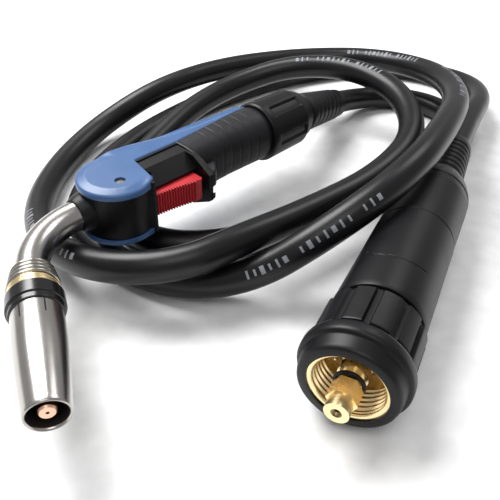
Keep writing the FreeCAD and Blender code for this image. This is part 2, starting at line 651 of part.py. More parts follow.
build_parts()
os.makedirs("parts", exist_ok=True)
for node, shape in NODES.items():
    shape.exportStep("parts/" + node + ".step")
    print(node, round(shape.Volume), shape.isValid(), len(shape.Solids))
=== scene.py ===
import json
import math

import bmesh
import bpy
from mathutils import Matrix, Vector


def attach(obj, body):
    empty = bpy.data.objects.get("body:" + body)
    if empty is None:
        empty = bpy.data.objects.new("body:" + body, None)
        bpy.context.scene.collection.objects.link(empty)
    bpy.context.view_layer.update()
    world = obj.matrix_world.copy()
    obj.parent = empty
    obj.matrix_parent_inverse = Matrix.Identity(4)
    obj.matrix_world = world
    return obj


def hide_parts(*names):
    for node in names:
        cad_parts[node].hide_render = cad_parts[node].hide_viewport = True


# A gas-cooled welding torch lying on its side, its looped cable and its central connector.
# Local frames are in millimetres; every mesh ends in the row frame, in metres.

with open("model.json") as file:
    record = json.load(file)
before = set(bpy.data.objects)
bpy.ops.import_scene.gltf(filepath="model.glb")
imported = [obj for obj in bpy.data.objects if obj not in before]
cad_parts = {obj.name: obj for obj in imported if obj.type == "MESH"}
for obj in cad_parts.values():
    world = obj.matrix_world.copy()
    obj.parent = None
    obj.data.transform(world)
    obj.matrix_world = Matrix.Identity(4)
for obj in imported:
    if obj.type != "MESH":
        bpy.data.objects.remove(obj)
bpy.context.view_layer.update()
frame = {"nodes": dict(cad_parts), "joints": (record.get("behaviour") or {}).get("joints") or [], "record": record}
JOINTS = {joint["name"]: joint for joint in frame["joints"]}
MM = 0.001
ROOT = "torch"

# Sizes that the pieces share, in millimetres. X, Y and Z are those of the torch's or the plug's frame.
TRIGGER_PIVOT = (30.5, -11.5)           # in the torch's frame
SCREW_AT = (12.5, -10.8)
HEAD_CENTRE = (15.0, -3.0)
HEAD_R = 19.3
BODY_HALF = 12.5                        # half the width of the body between the covers
COVER_R = 20.5
COVER_IN = 12.55
HALF_WIDTH = 17.0
BODY_END = 123.0
COLLAR_END = 163.0
KNUCKLE_AT = 160.0
BALL_R = 13.8
BOOT_AXIS = (75.0, 9.0, -19.5)
BOOT_LENGTH = 78.0
NECK_STRAIGHT = 9.5
NECK_BEND_R = 43.0
NECK_BEND = math.radians(63.5)
NECK_TIP = 24.0
NECK_R = 7.8
NOZZLE_SLEEVE_R = 9.8              # outside of the nozzle's sleeve, under its band
BAND_FROM_MOUTH = 58.0
NUT_POINT = 30.0                        # where the nut's joint is named, from the nipple's front
PLUG_BOOT_END = 240.0
CABLE_R = 8.5
CABLE_BORE = 8.6                        # radius of the boots' bores
FIRST_RUN = 36.0
LAST_RUN = 50.0

# The point of the surface that everything is laid out from, and the cable's route from there
# between its first and last runs, in metres.
LAY_POINT = Vector((0.0012, 0.0113, -0.0351))
ROUTE = [
    (0.231, -0.004, 0.0087),
    (0.236, -0.041, 0.0087),
    (0.214, -0.071, 0.0087),
    (0.172, -0.0795, 0.0087),
    (0.128, -0.074, 0.0087),
    (0.078, -0.062, 0.0087),
    (0.026, -0.044, 0.0087),
    (-0.012, -0.028, 0.0087),
    (-0.041, 0.004, 0.0087),
    (-0.038, 0.046, 0.0087),
    (-0.006, 0.078, 0.0087),
    (0.042, 0.088, 0.015),
    (0.088, 0.094, 0.023),
    (0.132, 0.086, 0.030),
    (0.168, 0.056, 0.041),
    (0.182, 0.008, 0.045),
    (0.166, -0.040, 0.042),
    (0.122, -0.072, 0.035),
    (0.066, -0.072, 0.029),
    (0.008, -0.058, 0.029),
    (-0.036, -0.048, 0.033),
    (-0.068, -0.036, 0.031),
    (-0.088, -0.004, 0.027),
    (-0.088, 0.036, 0.020),
    (-0.072, 0.074, 0.012),
    (-0.044, 0.106, 0.0087),
    (-0.002, 0.132, 0.0087),
    (0.048, 0.144, 0.014),
    (0.098, 0.132, 0.028),
    (0.156, 0.116, 0.030),
    (0.214, 0.080, 0.029),
    (0.246, 0.024, 0.032),
    (0.226, -0.038, 0.040),
    (0.168, -0.080, 0.050),
    (0.100, -0.096, 0.057),
    (0.038, -0.102, 0.057),
    (-0.010, -0.086, 0.041),
    (-0.042, -0.056, 0.014),
    (-0.064, -0.018, 0.0087),
    (-0.066, 0.024, 0.0087),
    (-0.052, 0.066, 0.0087),
    (-0.010, 0.096, 0.0087),
    (0.044, 0.112, 0.0087),
    (0.092, 0.116, 0.0087),
    (0.138, 0.114, 0.0087),
    (0.208, 0.098, 0.0087),
    (0.268, 0.066, 0.0087),
    (0.302, 0.012, 0.0087),
    (0.292, -0.044, 0.012),
    (0.248, -0.074, 0.020),
]


# Where each run of printed marks starts on the route, its step from mark to mark, and its side of the cable.
PRINT_RUNS = [
    (14.1, 0.085, (-0.35, -0.30, 0.89)),
    (30.7, 0.066, (-0.55, -0.20, 0.81)),
    (32.35, 0.062, (-0.35, -0.45, 0.82)),
    (35.5, 0.085, (-0.45, -0.60, 0.66)),
    (22.4, 0.100, (-0.60, -0.25, 0.76)),
]
MARKS_IN_RUN = 18
MARKS_LEFT_OUT = (3, 11)                # the gaps between groups of marks
MARK_COLUMNS = 7                        # points across a mark


# ---------------------------------------------------------------- frames
def local_frame(origin, x_axis, up):
    """Matrix from a local frame in millimetres to the row frame in metres."""
    x = Vector(x_axis).normalized()
    z = Vector(up) - x * Vector(up).dot(x)
    z.normalize()
    turn = Matrix((x, z.cross(x), z)).transposed().to_4x4()
    return Matrix.Translation(origin) @ turn @ Matrix.Scale(MM, 4)


def torch_frame():
    """X back along the handle, Y away from the trigger, Z across; origin at the handle's front face."""
    joint = JOINTS["trigger_press"]
    z = Vector(joint["axis"])
    forward = Vector(JOINTS["nozzle_pull"]["axis"])
    x = z.cross(forward) * math.sin(NECK_BEND) - forward * math.cos(NECK_BEND)
    y = z.cross(x)
    origin = Vector(joint["pos_m"]) - (x * TRIGGER_PIVOT[0] + y * TRIGGER_PIVOT[1]) * MM
    return local_frame(origin, x, z)


def plug_frame():
    """X back along the connector from the front of its nipple, Z up."""
    joint = JOINTS["adapter_nut_spin"]
    axis = Vector(joint["axis"])
    return local_frame(Vector(joint["pos_m"]) - axis * NUT_POINT * MM, axis, (0, 0, 1))


def neck_corners():
    """The bend's two ends and the direction that the nozzle points, in the torch's frame."""
    bend_in = Vector((-NECK_STRAIGHT, 0, 0))
    bend_out = bend_in + Vector((-math.sin(NECK_BEND), math.cos(NECK_BEND) - 1, 0)) * NECK_BEND_R
    forward = Vector((-math.cos(NECK_BEND), -math.sin(NECK_BEND), 0))
    return bend_in, bend_out, forward


def nozzle_frame():
    """X back along the nozzle from its mouth."""
    bend_out, forward = neck_corners()[1:]
    mouth = TORCH @ (bend_out + forward * (NECK_TIP + BAND_FROM_MOUTH))
    back = (TORCH.to_3x3() @ forward) * -1
    return local_frame(mouth, back, JOINTS["trigger_press"]["axis"])


TORCH = torch_frame()
PLUG = plug_frame()
NOZZLE = nozzle_frame()
BOOT = local_frame(TORCH @ Vector((KNUCKLE_AT, 0, 0)), BOOT_AXIS, (0, 0, 1))


# ---------------------------------------------------------------- camera, light and floor
def build_stage():
    """Camera, plain floor, even world light and three soft lamps."""
    data = bpy.data.cameras.new("camera")
    data.lens = 43.2
    data.sensor_width = 36.0
    camera = bpy.data.objects.new("camera", data)
    heading = math.radians(36.7)
    pitch = math.radians(37.0)
    level = math.cos(pitch)
    look = Vector((level * math.cos(heading), level * math.sin(heading), -math.sin(pitch)))
    camera.location = Vector((-0.229, -0.198, 0.211)) + LAY_POINT
    camera.rotation_euler = look.to_track_quat("-Z", "Y").to_euler()
    bpy.context.scene.collection.objects.link(camera)
    bpy.context.scene.camera = camera

    floor = bpy.data.objects.new("floor", bpy.data.meshes.new("floor"))
    half = 3.0
    low = LAY_POINT.z
    corners = [(-half, -half, low), (half, -half, low), (half, half, low), (-half, half, low)]
    floor.data.from_pydata(corners, [], [(0, 1, 2, 3)])
    floor.data.materials.append(surface("floor_white", (0.90, 0.90, 0.90), 0.65, grain=0.0))
    bpy.context.scene.collection.objects.link(floor)

    world = bpy.data.worlds.new("studio")
    world.use_nodes = True
    world.node_tree.nodes["Background"].inputs["Color"].default_value = (1.0, 1.0, 1.0, 1.0)
    world.node_tree.nodes["Background"].inputs["Strength"].default_value = 0.40
    bpy.context.scene.world = world
    bpy.context.scene.view_settings.view_transform = "Standard"
    area_light("key", (0.10, 0.75, 1.10), 0.8, 27.0)
    area_light("fill", (-0.5, -0.4, 1.2), 0.7, 4.0)
    area_light("rim", (0.9, -0.1, 1.0), 0.5, 3.0)


def area_light(name, place, size, power):
    data = bpy.data.lights.new(name, "AREA")
    data.shape = "SQUARE"
    data.size = size
    data.energy = power
    light = bpy.data.objects.new(name, data)
    light.location = place
    light.rotation_euler = (Vector((0.05, 0, 0)) - Vector(place)).to_track_quat("-Z", "Y").to_euler()
    bpy.context.scene.collection.objects.link(light)


# ---------------------------------------------------------------- materials
def surface(name, color, roughness, metallic=0.0, grain=0.1, grain_size=0.6, tint=0.08, level=0.5,
            uneven=0.08):
    """A moulded or machined surface: fine grain as bump, and slow changes of tone and roughness.
    grain_size is in millimetres."""
    material = bpy.data.materials.new(name)
    material.use_nodes = True
    nodes = material.node_tree.nodes
    links = material.node_tree.links
    shader = nodes["Principled BSDF"]
    shader.inputs["Metallic"].default_value = metallic
    shader.inputs["Specular IOR Level"].default_value = level
    place = nodes.new("ShaderNodeTexCoord")

    slow = nodes.new("ShaderNodeTexNoise")
    slow.inputs["Scale"].default_value = 60.0
    slow.inputs["Detail"].default_value = 4.0
    links.new(place.outputs["Object"], slow.inputs["Vector"])
    ramp = nodes.new("ShaderNodeValToRGB")
    ramp.color_ramp.elements[0].position = 0.3
    ramp.color_ramp.elements[1].position = 0.7
    ramp.color_ramp.elements[0].color = tuple(c * (1 - tint) for c in color) + (1.0,)
    ramp.color_ramp.elements[1].color = tuple(min(1.0, c * (1 + tint)) for c in color) + (1.0,)
    links.new(slow.outputs["Fac"], ramp.inputs["Fac"])
    links.new(ramp.outputs["Color"], shader.inputs["Base Color"])

    spread = nodes.new("ShaderNodeMapRange")
    spread.inputs["To Min"].default_value = max(0.02, roughness - uneven)
    spread.inputs["To Max"].default_value = roughness + uneven
    links.new(slow.outputs["Fac"], spread.inputs["Value"])
    links.new(spread.outputs["Result"], shader.inputs["Roughness"])

    if grain > 0:
        fine = nodes.new("ShaderNodeTexNoise")
        fine.inputs["Scale"].default_value = 1000.0 / grain_size
        fine.inputs["Detail"].default_value = 2.0
        links.new(place.outputs["Object"], fine.inputs["Vector"])
        bump = nodes.new("ShaderNodeBump")
        bump.inputs["Strength"].default_value = grain
        bump.inputs["Distance"].default_value = 0.0002
        links.new(fine.outputs["Fac"], bump.inputs["Height"])
        links.new(bump.outputs["Normal"], shader.inputs["Normal"])
    return material


def build_materials():
    """Every material, from its colour, roughness, metallic value and what differs from surface's defaults."""
    looks = {
        "nickel": ((0.47, 0.45, 0.43), 0.24, 1.0,
                   {"grain": 0.02, "grain_size": 1.5, "tint": 0.03, "uneven": 0.03}),
        # Near-black painted shade, not a real deposit: it darkens the inside of the nozzle's bore, its slits and
        # the gap behind the spring, where shade falls.
        "painted_shade_black": ((0.010, 0.008, 0.008), 0.60, 0.0, {"grain": 0.2, "level": 0.3}),
        "band_black": ((0.006, 0.006, 0.007), 0.20, 0.0, {"grain": 0.03, "uneven": 0.05}),
        "brass": ((0.95, 0.74, 0.42), 0.24, 1.0, {"grain": 0.06, "grain_size": 0.5}),
        "copper": ((0.92, 0.55, 0.40), 0.30, 1.0, {"grain": 0.05, "tint": 0.05}),
        "steel": ((0.42, 0.40, 0.36), 0.24, 1.0, {"grain": 0.04, "tint": 0.05, "uneven": 0.05}),
        "insulation": ((0.70, 0.68, 0.62), 0.50, 0.0, {}),
        "cover_blue": ((0.042, 0.108, 0.262), 0.36, 0.0, {"grain_size": 0.5, "tint": 0.06}),
        "grip_black": ((0.009, 0.009, 0.011), 0.50, 0.0,
                       {"grain": 0.35, "grain_size": 0.45, "tint": 0.15, "level": 0.35}),
        "body_black": ((0.004, 0.004, 0.005), 0.40, 0.0,
                       {"grain": 0.18, "grain_size": 0.5, "tint": 0.12, "level": 0.26}),
        "trigger_red": ((0.47, 0.022, 0.030), 0.34, 0.0, {"grain": 0.08, "tint": 0.06, "level": 0.4}),
        "boot_black": ((0.005, 0.005, 0.006), 0.44, 0.0,
                       {"grain": 0.2, "grain_size": 0.7, "tint": 0.12, "level": 0.3}),
        "cable_black": ((0.004, 0.004, 0.005), 0.34, 0.0,
                        {"grain": 0.12, "grain_size": 1.6, "tint": 0.15, "level": 0.34}),
        "print_grey": ((0.22, 0.23, 0.25), 0.55, 0.0, {"grain": 0.05}),
        "wire_grey": ((0.15, 0.15, 0.16), 0.50, 0.0, {}),
    }
    return {name: surface(name, color, rough, metal, **more)
            for name, (color, rough, metal, more) in looks.items()}


# ---------------------------------------------------------------- cable
def build_cable():
    start = BOOT @ Vector((BOOT_LENGTH, 0, 0))
    first = BOOT @ Vector((BOOT_LENGTH + FIRST_RUN, 0, 0))
    last = PLUG @ Vector((PLUG_BOOT_END + LAST_RUN, 0, 0))
    end = PLUG @ Vector((PLUG_BOOT_END, 0, 0))
    points = [start, first] + [LAY_POINT + Vector(point) for point in ROUTE] + [last, end]
    data = bpy.data.curves.new("cable", "CURVE")
    data.dimensions = "3D"
    spline = data.splines.new("NURBS")
    spline.points.add(len(points) - 1)
    for knot, place in zip(spline.points, points):
        knot.co = (*place, 1.0)
    spline.order_u = 3
    spline.use_endpoint_u = True
    spline.resolution_u = 10
    data.bevel_depth = CABLE_R * MM
    data.bevel_resolution = 9
    data.use_fill_caps = True
    cable = bpy.data.objects.new("cable", data)
    bpy.context.scene.collection.objects.link(cable)
    data.materials.append(MATERIALS["cable_black"])
    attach(cable, ROOT)
    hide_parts("power_cable")
    return cable, start


def route_place(at):
    """A place on the cable's centreline and its direction, at a whole and a part of the route's corners."""
    corner = int(at + 0.5)
    t = at + 0.5 - corner
    before, here, after = [LAY_POINT + Vector(ROUTE[corner + k]) for k in (-1, 0, 1)]
    start = (before + here) / 2
    end = (here + after) / 2
    place = start * (1 - t) ** 2 + here * 2 * t * (1 - t) + end * t ** 2
    return place, ((here - start) * (1 - t) + (end - here) * t).normalized()


def build_print():
    """Plain tick marks in groups along the sheath, where a real cable has its printing."""
    verts = []
    faces = []
    for start, step, side in PRINT_RUNS:
        for k in range(MARKS_IN_RUN):
            if k in MARKS_LEFT_OUT:
                continue
            place, along = route_place(start + step * k)
            out = Vector(side) - along * Vector(side).dot(along)
            out.normalize()
            across = along.cross(out)
            half_long = 0.0006 if k % 3 else 0.0012
            half_turn = 0.26 if k % 2 else 0.20
            base = len(verts)
            for length in (-half_long, half_long):
                for radius in ((CABLE_R - 0.2) * MM, (CABLE_R + 0.05) * MM):
                    for turn in steps_between(-half_turn, half_turn, half_turn / 3):
                        outward = out * math.cos(turn) + across * math.sin(turn)
                        verts.append(place + along * length + outward * radius)
            rows = [base + MARK_COLUMNS * row for row in (0, 1, 3, 2)]
            for j in range(MARK_COLUMNS - 1):
                for a, b in zip(rows, rows[1:] + rows[:1]):
                    faces.append((a + j, a + j + 1, b + j + 1, b + j))
            for j in (0, MARK_COLUMNS - 1):
                faces.append(tuple(row + j for row in rows))
    piece("cable_print", verts, faces, Matrix.Identity(4), "print_grey")


# ---------------------------------------------------------------- mesh tools
def piece(name, verts, faces, place, material, body=ROOT, replaces=(), bevel=0.0, sharp=35.0, inner=None):
    """A mesh given in a local frame, put in the row frame and ridden on its body.
    inner, if given, is a second material and a test of a local point that says where it goes."""
    mesh = bpy.data.meshes.new(name)
    mesh.from_pydata([place @ Vector(v) for v in verts], [], faces)
    mesh.validate()
    fix = bmesh.new()
    fix.from_mesh(mesh)
    bmesh.ops.remove_doubles(fix, verts=fix.verts, dist=0.000002)
    bmesh.ops.recalc_face_normals(fix, faces=fix.faces)
    fix.to_mesh(mesh)
    fix.free()
    mesh.materials.append(MATERIALS[material])
    if inner:
        mesh.materials.append(MATERIALS[inner[0]])
        back = place.inverted()
        for face in mesh.polygons:
            face.material_index = 1 if inner[1](back @ face.center) else 0
    mesh.polygons.foreach_set("use_smooth", [True] * len(mesh.polygons))
    mesh.set_sharp_from_angle(angle=math.radians(sharp))
    result = bpy.data.objects.new(name, mesh)
    bpy.context.scene.collection.objects.link(result)
    if bevel > 0:
        soften = result.modifiers.new("edges", "BEVEL")
        soften.width = bevel * MM
        soften.segments = 3
        soften.limit_method = "ANGLE"
        soften.angle_limit = math.radians(sharp)
        soften.harden_normals = True
    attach(result, body)
    if replaces:
        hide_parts(*replaces)
    return result


def rings_to_mesh(rings, closed=False, caps=True):
    """Join equal rings of points into a skin; closed joins the last ring to the first."""
    count = len(rings[0])
    verts = [point for ring in rings for point in ring]
    faces = []
    spans = len(rings) if closed else len(rings) - 1
    for i in range(spans):
        a = i * count
        b = ((i + 1) % len(rings)) * count
        for k in range(count):
            n = (k + 1) % count
            faces.append((a + k, a + n, b + n, b + k))
    if caps and not closed:
        faces.append(tuple(range(count - 1, -1, -1)))
        faces.append(tuple(range((len(rings) - 1) * count, len(rings) * count)))
    return verts, faces


def lathe(name, profile, place, material, steps=96, shape=None, **options):
    """Turn a closed (x, r) outline about X. shape(x, r, angle) may change the radius."""
    rings = []
    for x, r in profile:
        ring = []
        for k in range(steps):
            angle = 2 * math.pi * k / steps
            radius = shape(x, r, angle) if shape else r
            ring.append((x, radius * math.cos(angle), radius * math.sin(angle)))
        rings.append(ring)
    verts, faces = rings_to_mesh(rings, closed=True)
    return piece(name, verts, faces, place, material, **options)


def plate(name, outline, z0, z1, place, material, **options):
    """A prism of an (x, y) outline between z0 and z1."""
    rings = [[(x, y, z) for x, y in outline] for z in (z0, z1)]
    verts, faces = rings_to_mesh(rings)
    return piece(name, verts, faces, place, material, **options)


def drill(target, place, x, y, radius, z0, z1):
    """Cut a round hole along the local Z axis."""
    turns = [2 * math.pi * k / 40 for k in range(40)]
    rings = [[(x + radius * math.cos(turn), y + radius * math.sin(turn), z) for turn in turns]
             for z in (z0, z1)]
    verts, faces = rings_to_mesh(rings)
    mesh = bpy.data.meshes.new("drill")
    mesh.from_pydata([place @ Vector(v) for v in verts], [], faces)
    tool = bpy.data.objects.new("drill", mesh)
    bpy.context.scene.collection.objects.link(tool)
    cut = target.modifiers.new("hole", "BOOLEAN")
    cut.operation = "DIFFERENCE"
    cut.object = tool
    done = bpy.data.meshes.new_from_object(target.evaluated_get(bpy.context.evaluated_depsgraph_get()))
    target.modifiers.remove(cut)
    target.data = done
    done.polygons.foreach_set("use_smooth", [True] * len(done.polygons))
    done.set_sharp_from_angle(angle=math.radians(35))
    bpy.data.objects.remove(tool)


def smooth(a, b, t):
    """0 below a, 1 above b, and a smooth step between."""
    t = min(1.0, max(0.0, (t - a) / (b - a)))
    return t * t * (3 - 2 * t)


def steps_between(a, b, size):
    """Even steps from a to b, each about one size long."""
    count = max(2, int(round(abs(b - a) / size)) + 1)
    return [a + (b - a) * k / (count - 1) for k in range(count)]


def blend_points(table, x):
    """Value at x on the straight lines through a table of (x, value)."""
    if x <= table[0][0]:
        return table[0][1]
    for (x0, v0), (x1, v1) in zip(table, table[1:]):
        if x <= x1:
            return v0 + (v1 - v0) * (x - x0) / (x1 - x0)
    return table[-1][1]


# ---------------------------------------------------------------- gooseneck and nozzle
def build_neck():
    bend_in, bend_out, forward = neck_corners()
    centre = bend_in + Vector((0, -NECK_BEND_R, 0))
    stations = [(Vector((3, 0, 0)), 0.0), (bend_in, 0.0)]
    for turn in steps_between(0, NECK_BEND, math.radians(1.5))[1:]:
        out = Vector((-math.sin(turn), math.cos(turn), 0))
        stations.append((centre + out * NECK_BEND_R, turn))
    stations.append((bend_out + forward * (NECK_TIP - 8), NECK_BEND))
    rings = []
    for middle, turn in stations:
        side = Vector((-math.sin(turn), math.cos(turn), 0))
        swell = 1.4 * (1 - smooth(-9, 2, -middle.x)) if turn == 0 else 0.0
        ring = []
        for k in range(64):
            angle = 2 * math.pi * k / 64
            radius = NECK_R + swell
            ring.append(middle + side * radius * math.cos(angle) + Vector((0, 0, radius * math.sin(angle))))
        rings.append(ring)
    verts, faces = rings_to_mesh(rings)
    piece("neck", verts, faces, TORCH, "nickel", replaces=["neck_tube"], sharp=60)
    lathe("neck_root", [(-9.5, NECK_R + 0.1), (-9.5, NECK_R + 0.9), (-7.5, NECK_R + 1.8), (-3, NECK_R + 2.8),
                        (2, NECK_R + 3.8), (2, NECK_R + 0.1)],
          TORCH, "body_black", replaces=["neck_collar"], bevel=0.4, sharp=50)


def build_nozzle():
    band0 = BAND_FROM_MOUTH - 6.0
    band1 = BAND_FROM_MOUTH + 6.0
    outer = [(0.9, 7.5), (0.3, 7.8), (0.0, 8.2), (0.1, 8.6), (0.5, 8.85)]
    for x in steps_between(1.2, band0 - 0.1, 1.2):
        outer.append((x, 8.9 + 2.1 * math.sin(min(1.0, x / 44.0) * math.pi / 2)))
    sleeve_r = NOZZLE_SLEEVE_R
    inner = [(band0 - 0.1, sleeve_r), (band1 - 1, sleeve_r), (band1 - 1, 8.4), (20, 8.2), (6, 7.5)]
    # The nozzle's inner faces, from 1 mm behind the mouth, get the near-black painted shade material, for the
    # shade inside the bore.
    lathe("nozzle", outer + inner, NOZZLE, "nickel", body="nozzle", replaces=["gas_nozzle"], sharp=50,
          inner=("painted_shade_black", lambda p: p.x > 1.0 and math.hypot(p.y, p.z) < 8.45))
    for degrees in (60, 115, 180, 240, 300):
        build_slit(degrees, band0)
    band = [(band0, 9.9), (band0, 11.3), (band0 + 0.4, 11.7), (band0 + 3.0, 11.9), (band0 + 3.4, 12.7),
            (band1 - 1.6, 12.7), (band1, 11.3), (band1, 9.9)]
    lathe("nozzle_band", band, NOZZLE, "band_black", body="nozzle", replaces=["nozzle_insulator"], bevel=0.3)
    ring_end = band1 + 4.0
    ring = [(band1 + 0.1, 9.3), (band1 + 0.1, 11.0), (band1 + 0.8, 11.5), (band1 + 1.8, 11.5),
            (band1 + 2.1, 11.1), (band1 + 2.5, 11.1), (band1 + 2.8, 11.5), (ring_end - 0.2, 11.5),
            (ring_end, 11.2), (ring_end, 9.3)]
    lathe("nozzle_ring_turned", ring, NOZZLE, "brass", body="nozzle", replaces=["nozzle_ring"], bevel=0.15)
    build_spring(ring_end)


def build_slit(degrees, band0):
    """One of the narrow dark slits that run out from under the nozzle's band, drawn as a thin strip of near-black
    painted shade laid on the nozzle.
    """
    angle = math.radians(degrees)
    out = Vector((0, math.cos(angle), math.sin(angle)))
    across = Vector((0, -math.sin(angle), math.cos(angle)))
    corners = []
    for x, half in ((band0 - 8.0, 0.15), (band0 - 7.6, 0.35), (band0 + 0.2, 0.35)):
        corners += [(x, half), (x, -half)]
    verts = [Vector((x, 0, 0)) + out * height + across * half
             for height in (10.6, 11.04) for x, half in corners]
    faces = [(0, 2, 3, 1), (2, 4, 5, 3), (6, 7, 9, 8), (8, 9, 11, 10), (0, 6, 8, 2), (2, 8, 10, 4),
             (1, 3, 9, 7), (3, 5, 11, 9), (0, 1, 7, 6), (4, 10, 11, 5)]
    # The strip's near-black colour is painted shade for the inside of the slit.
    piece("nozzle_slit_%d" % degrees, verts, faces, NOZZLE, "painted_shade_black", body="nozzle")


def build_spring(start):
    """A coil that narrows towards the neck, over a thin sleeve."""
    turns = 3.7
    wire = 1.05
    pitch = 3.0
    narrowing = 0.53                    # in radius, each turn
    rings = []
    count = int(turns * 48)
    for k in range(count + 1):
        turn = 2 * math.pi * k / 48
        along = start + wire + 0.2 + pitch * k / 48
        radius = 10.9 - narrowing * k / 48
        outward = Vector((0, math.cos(turn), math.sin(turn)))
        middle = Vector((along, 0, 0)) + outward * radius
        ring = []
        for j in range(12):
            around = 2 * math.pi * j / 12
            ring.append(middle + outward * wire * math.cos(around) + Vector((wire * math.sin(around), 0, 0)))
        rings.append(ring)
    verts, faces = rings_to_mesh(rings)
    piece("neck_spring", verts, faces, NOZZLE, "steel", replaces=["nozzle_spring"], sharp=60)
    # The sleeve is near-black painted shade, so the gaps between the coils read dark.
    lathe("spring_sleeve", [(start + 0.6, 7.95), (start + 0.6, 9.4), (start + 11, 8.3), (start + 11, 7.95)],
          NOZZLE, "painted_shade_black", bevel=0.1)


# ---------------------------------------------------------------- handle
def grip_ring(x, y0, y1, half, corner, grow):
    """A rounded rectangle at x, from y0 to y1 and half to each side, grown by a little all round."""
    count = 72
    corner = min(corner, half - 0.01, (y1 - y0) / 2 - 0.01)
    straight_y = (y1 - y0) / 2 - corner
    straight_z = half - corner
    middle = (y0 + y1) / 2
    ring = []
    for k in range(count):
        angle = 2 * math.pi * (k + 0.5) / count
        c = math.cos(angle)
        s = math.sin(angle)
        y = math.copysign(straight_y, c) + (corner + grow) * c
        z = math.copysign(straight_z, s) + (corner + grow) * s
        ring.append((x, middle + y, z))
    return ring


HANDLE_SECTIONS = {
    "low": [(40, -14.0), (66, -14.0), (92, -14.0), (BODY_END, -16.2)],
    "high": [(40, 16.0), (66, 16.0), (92, 16.0), (BODY_END, 17.0)],
    "half": [(40, 16.0), (66, 16.5), (92, 17.0), (BODY_END, 17.0)],
    "corner": [(40, 8.0), (66, 11.5), (92, 14.0), (BODY_END, 16.0)],
}


def handle_section(x):
    return [blend_points(HANDLE_SECTIONS[key], x) for key in ("low", "high", "half", "corner")]


def handle_height(x, y):
    """Height of the handle's side face above its middle plane, at a place on the side."""
    low, high, half, corner = handle_section(x)
    reach = y - (high - corner)
    if reach <= 0:
        return half
    return half - corner + math.sqrt(max(0.0, corner ** 2 - min(reach, corner) ** 2))


def build_grip():
    rings = []
    for x in steps_between(60.6, BODY_END, 0.6):
        low, high, half, corner = handle_section(x)
        ribs = 0.0
        if 76 < x < 112:
            ribs = -0.3 * max(0.0, math.cos((x - 76) / 7.0 * 2 * math.pi)) ** 8
        swell = 0.5 * (1 - smooth(BODY_END - 3, BODY_END, x))
        rings.append(grip_ring(x, low, high, half - 0.4, corner, grow=ribs + swell - 0.3))
    verts, faces = rings_to_mesh(rings)
    piece("grip", verts, faces, TORCH, "grip_black", replaces=["grip_left", "grip_right"], sharp=50)
    guard = [(60.7, -8), (60.7, -19), (62.4, -22), (65.2, -23.4), (68.6, -22.6), (71.4, -19.6), (74, -15.6),
             (78, -12.5), (78, -8)]
    plate("finger_guard", guard, -5.5, 5.5, TORCH, "grip_black", bevel=2.2, sharp=30)
    turn = TORCH.to_3x3()
    centre = TORCH @ Vector((*HEAD_CENTRE, 0))
    place = local_frame(centre, turn @ Vector((0, 0, 1)), turn @ Vector((0, 1, 0)))
    drum = [(-BODY_HALF, 0.5), (-BODY_HALF, HEAD_R), (BODY_HALF, HEAD_R), (BODY_HALF, 0.5)]
    lathe("head_drum", drum, place, "body_black", steps=128)
    block = [(15, -4), (15, 16), (62, 15.6), (62, 0), (44, -4)]
    plate("head_block", block, -BODY_HALF, BODY_HALF, TORCH, "body_black", bevel=1.0)


def cover_edges(x):
    """Lowest and highest y of a side cover at x."""
    head_x, head_y = HEAD_CENTRE
    reach = math.sqrt(max(0.16, COVER_R ** 2 - (x - head_x) ** 2)) if abs(x - head_x) < COVER_R else 0.4
    low = head_y - reach
    high = head_y + reach
    if x > head_x:
        high = blend_points([(15, 17.5), (22, 18.1), (80, 17.2), (BODY_END, 15.6)], x)
    notch = -30 + 30.0 * (x - 24.5) / 5.5
    if x > 23:
        strip = blend_points([(30, 0), (32, 0.5), (60, 1), (96, 4.2), (BODY_END, 9)], x)
        low = max(low, min(notch, strip)) if x < 31 else strip
    return low, high


def build_cover(name, side, node):
    front = HEAD_CENTRE[0] - COVER_R
    stations = steps_between(front, front + 3, 0.25) + steps_between(front + 3.5, 22, 0.7)
    stations += steps_between(22.3, 31.2, 0.3) + steps_between(32, BODY_END - 0.1, 1.0)
    rings = []
    across = [0.5 - 0.5 * math.cos(math.pi * k / 40) for k in range(41)]
    for x in stations:
        low, high = cover_edges(x)
        ring = [(x, low, side * COVER_IN)]
        for t in across:
            y = low + (high - low) * t
            ring.append((x, y, side * cover_height(x, y, low, high)))
        ring.append((x, high, side * COVER_IN))
        rings.append(ring)
    verts, faces = rings_to_mesh(rings)
    return piece(name, verts, faces, TORCH, "cover_blue", replaces=[node], sharp=42)


def cover_height(x, y, low, high):
    """Outer face of a cover: flat, rounded at its edges, with a sloping band round the head's nose."""
    head_x, head_y = HEAD_CENTRE
    rounding = smooth(24, 100, x)
    top = HALF_WIDTH * (1 - rounding) + min(HALF_WIDTH, handle_height(x, y) + 0.5) * rounding
    to_edge = min(y - low, high - y)
    if x < head_x:
        to_edge = min(to_edge, COVER_R - math.hypot(x - head_x, y - head_y))
    edge_r = 1.5
    if to_edge < edge_r:
        top -= edge_r - math.sqrt(max(0.0, edge_r ** 2 - (edge_r - max(0.0, to_edge)) ** 2))
    nose = COVER_R - math.hypot(x - head_x, y - head_y)
    if x < 26 and nose < 5.0:
        fade = 1 - smooth(16, 26, x)
        top -= 1.1 * (1 - smooth(0.0, 5.0, nose)) * fade
        top -= 0.25 * (1 - smooth(4.2, 4.8, nose)) * fade
    return max(top, COVER_IN + 0.3)


def build_handle():
    build_grip()
    for name, side, node in (("cover_top", 1, "cover_left"), ("cover_bottom", -1, "cover_right")):
        cover = build_cover(name, side, node)
        drill(cover, TORCH, *SCREW_AT, 2.9, side * 10.0, side * 20.0)
        build_housing_detail(side)


